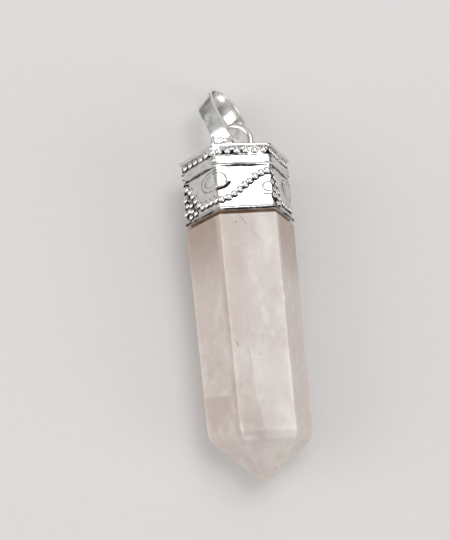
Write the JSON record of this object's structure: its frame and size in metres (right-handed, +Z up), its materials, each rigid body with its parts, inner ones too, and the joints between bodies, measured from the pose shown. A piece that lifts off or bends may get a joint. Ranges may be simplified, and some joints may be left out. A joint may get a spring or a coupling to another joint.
{
  "type": "crystal point pendant",
  "caption": "Hexagonal milky quartz point in a hexagonal silver-plated cap with stamped ornament, a soldered ring and a flat-strip teardrop bail.",
  "frame": {"origin": "under the middle of the pendant's length and width, on the surface that it lies on", "axes": "+Y along the pendant from the point to the bail, +X to the right, +Z up, away from the surface; the pendant lies on its back face"},
  "size_m": [0.0138, 0.0508, 0.0121],
  "materials": {
    "quartz": "polished, milky and cloudy",
    "plated_cap": "mirror-bright silver plate",
    "plated_bail": "mirror-bright silver plate"
  },
  "bodies": {
    "root": {"crystal": "quartz", "cap": "plated_cap", "bail": "plated_bail"}
  },
  "joints": []
}
